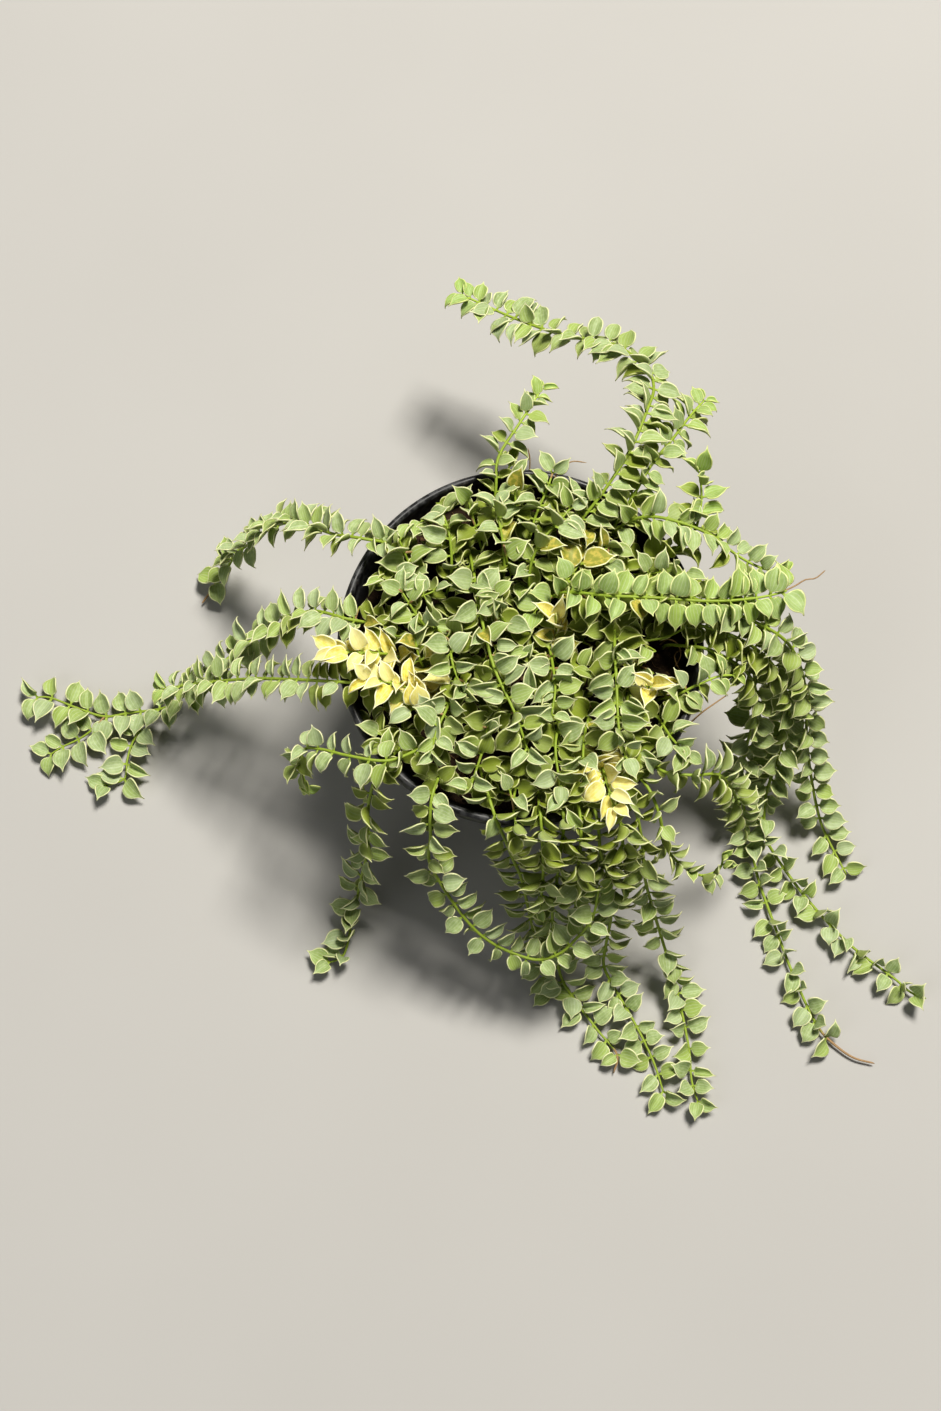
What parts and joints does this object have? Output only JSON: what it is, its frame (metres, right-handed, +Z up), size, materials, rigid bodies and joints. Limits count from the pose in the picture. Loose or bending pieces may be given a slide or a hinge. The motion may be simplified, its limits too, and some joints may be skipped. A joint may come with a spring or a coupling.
{
  "type": "potted variegated string of nickels",
  "caption": "Round nursery pot of potting mix with a dense crown of thin stems that arch over the lip and trail to the floor, set with paired cream-edged leaves.",
  "frame": {"origin": "on the pot's axis, in the flat underside that the pot stands on", "axes": "+Z up along the pot's axis, +Y towards the back of the plant and +X to its right-hand side"},
  "size_m": [0.4998, 0.4319, 0.1517],
  "materials": {
    "pot": "gloss",
    "soil": "matte",
    "foliage": "satin",
    "yellow_foliage": "satin"
  },
  "bodies": {
    "root": {"pot": "pot", "soil": "soil", "trail_back_long": "foliage", "trail_back_short_right": "foliage", "trail_back_upright": "foliage", "trail_right_upright": "foliage", "trail_right_back": "foliage", "trail_right_level": "foliage", "trail_right_floor_inner": "foliage", "trail_right_floor_outer": "foliage", "trail_far_right": "foliage", "trail_front_right_arch": "foliage", "trail_front_right_curl": "foliage", "trail_front_right_floor": "foliage", "trail_front_loop": "foliage", "trail_front_left_inner": "foliage", "trail_front_middle": "foliage", "trail_front_middle_right": "foliage", "trail_front_left_floor": "foliage", "trail_left_front": "foliage", "trail_left_middle": "foliage", "trail_left_long": "foliage", "trail_left_back": "foliage", "trail_right_short": "foliage", "trail_front_short_left": "foliage", "trail_front_short_middle": "foliage", "trail_front_short_right": "foliage", "crown_stem_01": "foliage", "crown_stem_02": "foliage", "crown_stem_03": "foliage", "crown_stem_04": "foliage", "crown_stem_05": "foliage", "crown_stem_06": "foliage", "crown_stem_07": "foliage", "crown_stem_08": "foliage", "crown_stem_09": "foliage", "crown_stem_10": "foliage", "crown_stem_11": "foliage", "crown_stem_12": "foliage", "crown_stem_13": "foliage", "crown_stem_14": "foliage", "crown_stem_15": "foliage", "crown_stem_16": "foliage", "crown_stem_17": "foliage", "crown_stem_18": "foliage", "crown_stem_19": "foliage", "crown_stem_20": "foliage", "crown_stem_21": "foliage", "crown_stem_22": "foliage", "crown_stem_23": "foliage", "crown_stem_24": "foliage", "crown_stem_25": "foliage", "crown_stem_26": "foliage", "crown_stem_27": "foliage", "yellow_spray_01": "yellow_foliage", "yellow_spray_02": "yellow_foliage", "yellow_spray_03": "yellow_foliage", "yellow_spray_04": "yellow_foliage", "yellow_spray_05": "yellow_foliage"}
  },
  "joints": []
}
